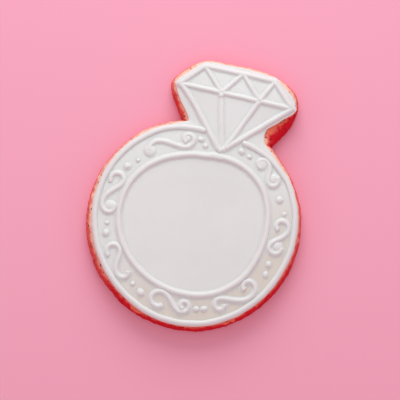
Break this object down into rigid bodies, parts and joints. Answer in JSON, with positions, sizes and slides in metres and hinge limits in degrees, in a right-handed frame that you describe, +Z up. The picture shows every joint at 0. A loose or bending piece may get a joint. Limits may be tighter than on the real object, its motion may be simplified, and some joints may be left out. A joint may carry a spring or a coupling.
{
  "type": "iced sugar cookie",
  "caption": "Flat cut-out sugar cookie shaped as a gem ring: baked dough under a smooth white royal-icing coat, with piped rim, scrolls, dots and gem facet lines.",
  "frame": {"origin": "centre of the ring, on the flat underside of the dough", "axes": "+Y from the ring's centre to the gem along the cookie's length, +Z up out of the iced face, +X to the right seen from above"},
  "size_m": [0.0803, 0.1026, 0.0109],
  "materials": {
    "baked_dough": "matte, baked crumb, coral-tinted edge",
    "icing_coat": "satin, dried royal-icing flood",
    "icing_piped": "satin, dried piped royal icing"
  },
  "bodies": {
    "root": {"dough": "baked_dough", "icing_coat": "icing_coat", "rim_line": "icing_piped", "inner_ring_line": "icing_piped", "gem_lines": "icing_piped", "scroll_1": "icing_piped", "scroll_2": "icing_piped", "scroll_3": "icing_piped", "scroll_4": "icing_piped", "scroll_5": "icing_piped", "scroll_6": "icing_piped", "scroll_7": "icing_piped", "dot_01": "icing_piped", "dot_02": "icing_piped", "dot_03": "icing_piped", "dot_04": "icing_piped", "dot_05": "icing_piped", "dot_06": "icing_piped", "dot_07": "icing_piped", "dot_08": "icing_piped", "dot_09": "icing_piped", "dot_10": "icing_piped", "dot_11": "icing_piped", "dot_12": "icing_piped", "dot_13": "icing_piped", "dot_14": "icing_piped", "dot_15": "icing_piped", "dot_16": "icing_piped"}
  },
  "joints": []
}
